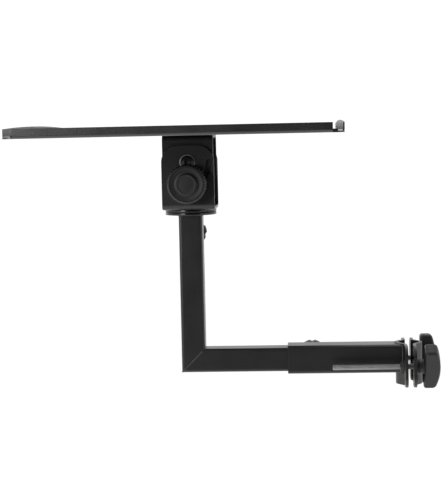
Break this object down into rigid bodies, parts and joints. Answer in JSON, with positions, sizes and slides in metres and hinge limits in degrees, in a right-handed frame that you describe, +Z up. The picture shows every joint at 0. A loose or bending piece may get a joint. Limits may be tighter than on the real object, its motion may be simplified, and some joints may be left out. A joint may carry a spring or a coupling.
{
  "type": "teleprompter pole mount",
  "caption": "Pole-clamp support for a teleprompter: a telescopic square arm with an elbow, a swivel and tilt head, and a shallow sheet-metal tray.",
  "frame": {"origin": "on the pole's axis, at mid-height of the clamp jaws", "axes": "+Z up along the pole, +X from the tray towards the clamp's wing knobs, +Y towards the small lock knobs"},
  "size_m": [0.4175, 0.41, 0.2835],
  "materials": {
    "black_powder_coat": "fine-textured matte black powder coat",
    "black_oxide_steel": "black oxide, satin",
    "zinc_steel": "bright zinc plate",
    "black_plastic": "moulded, fine grain",
    "bush_plastic": "natural nylon",
    "mat_rubber": "fine ribbed rubber"
  },
  "bodies": {
    "sleeve": {"sleeve_tube": "black_powder_coat", "fixed_jaw": "black_powder_coat", "clamp_nuts": "black_powder_coat", "sleeve_lock_nut": "black_powder_coat"},
    "jaw": {"moving_jaw": "black_powder_coat", "clamp_washers": "black_oxide_steel"},
    "clamp_handle_near": {"clamp_screw_near": "zinc_steel", "wing_knob_near": "black_plastic"},
    "clamp_handle_far": {"clamp_screw_far": "zinc_steel", "wing_knob_far": "black_plastic"},
    "sleeve_pad": {"sleeve_lock_pad": "bush_plastic"},
    "sleeve_handle": {"sleeve_lock_screw": "zinc_steel", "sleeve_lock_knob": "black_plastic"},
    "arm": {"beam_tube": "black_powder_coat", "upright_tube": "black_powder_coat", "pan_lock_nut": "black_powder_coat", "lower_disc": "black_powder_coat", "swivel_bush": "bush_plastic"},
    "pan_pad": {"pan_lock_pad": "bush_plastic"},
    "pan_handle": {"pan_lock_screw": "zinc_steel", "pan_lock_knob": "black_plastic"},
    "head": {"swivel_post": "zinc_steel", "upper_disc": "black_powder_coat", "fork": "black_powder_coat", "post_bolt": "black_oxide_steel", "post_washer": "black_oxide_steel", "pivot_bolt": "zinc_steel", "pivot_washers": "zinc_steel", "pivot_nut": "black_oxide_steel"},
    "tray": {"tilt_channel": "black_powder_coat", "pivot_bushes": "bush_plastic", "tilt_stud": "zinc_steel", "tray_pan": "black_powder_coat", "tray_mat": "mat_rubber", "tray_bolts": "black_oxide_steel", "tray_nuts": "black_oxide_steel"},
    "tilt_washer": {"tilt_washer": "black_oxide_steel"},
    "tilt_handle": {"tilt_knob": "black_plastic"}
  },
  "joints": [
    {"name": "jaw_slide", "type": "slide", "parent": "sleeve", "child": "jaw", "axis": [1, 0, 0], "range_m": [-0.0054, 0.03]},
    {"name": "clamp_turn_near", "type": "hinge", "parent": "jaw", "child": "clamp_handle_near", "pos_m": [0.0145, -0.029, 0], "axis": [1, 0, 0], "range_deg": [-1980, 10836]},
    {"name": "clamp_turn_far", "type": "hinge", "parent": "jaw", "child": "clamp_handle_far", "pos_m": [0.0145, 0.029, 0], "axis": [1, 0, 0], "range_deg": [-1980, 10836]},
    {"name": "arm_slide", "type": "slide", "parent": "sleeve", "child": "arm", "axis": [-1, 0, 0], "range_m": [-0.04, 0.04]},
    {"name": "sleeve_pad_slide", "type": "slide", "parent": "sleeve", "child": "sleeve_pad", "axis": [0, 1, 0], "range_m": [0, 0.0031]},
    {"name": "sleeve_lock_turn", "type": "hinge", "parent": "sleeve_pad", "child": "sleeve_handle", "pos_m": [-0.102, 0.03, 0.006], "axis": [0, 1, 0], "range_deg": [0, 1080]},
    {"name": "pan_pad_slide", "type": "slide", "parent": "arm", "child": "pan_pad", "axis": [0, 1, 0], "range_m": [0, 0.0031]},
    {"name": "pan_lock_turn", "type": "hinge", "parent": "pan_pad", "child": "pan_handle", "pos_m": [-0.228, 0.028, 0.14], "axis": [0, 1, 0], "range_deg": [0, 1080]},
    {"name": "head_pan", "type": "hinge", "parent": "arm", "child": "head", "pos_m": [-0.228, 0, 0.167], "axis": [0, 0, 1], "continuous": true},
    {"name": "tray_tilt", "type": "hinge", "parent": "head", "child": "tray", "pos_m": [-0.228, 0, 0.217], "axis": [0, -1, 0], "range_deg": [0, 90]},
    {"name": "tilt_washer_slide", "type": "slide", "parent": "tray", "child": "tilt_washer", "axis": [0, -1, 0], "range_m": [0, 0.0031]},
    {"name": "tilt_knob_turn", "type": "hinge", "parent": "tilt_washer", "child": "tilt_handle", "pos_m": [-0.228, -0.046, 0.1947], "axis": [0, -1, 0], "range_deg": [0, 1080]}
  ],
  "couplings": [
    {"joint": "clamp_turn_near", "follows": "jaw_slide", "rad_per_m": 6283.2},
    {"joint": "clamp_turn_far", "follows": "jaw_slide", "rad_per_m": 6283.2},
    {"joint": "sleeve_pad_slide", "follows": "sleeve_lock_turn", "m_per_rad": 0.00015915},
    {"joint": "pan_pad_slide", "follows": "pan_lock_turn", "m_per_rad": 0.00015915},
    {"joint": "tilt_washer_slide", "follows": "tilt_knob_turn", "m_per_rad": 0.00015915}
  ]
}
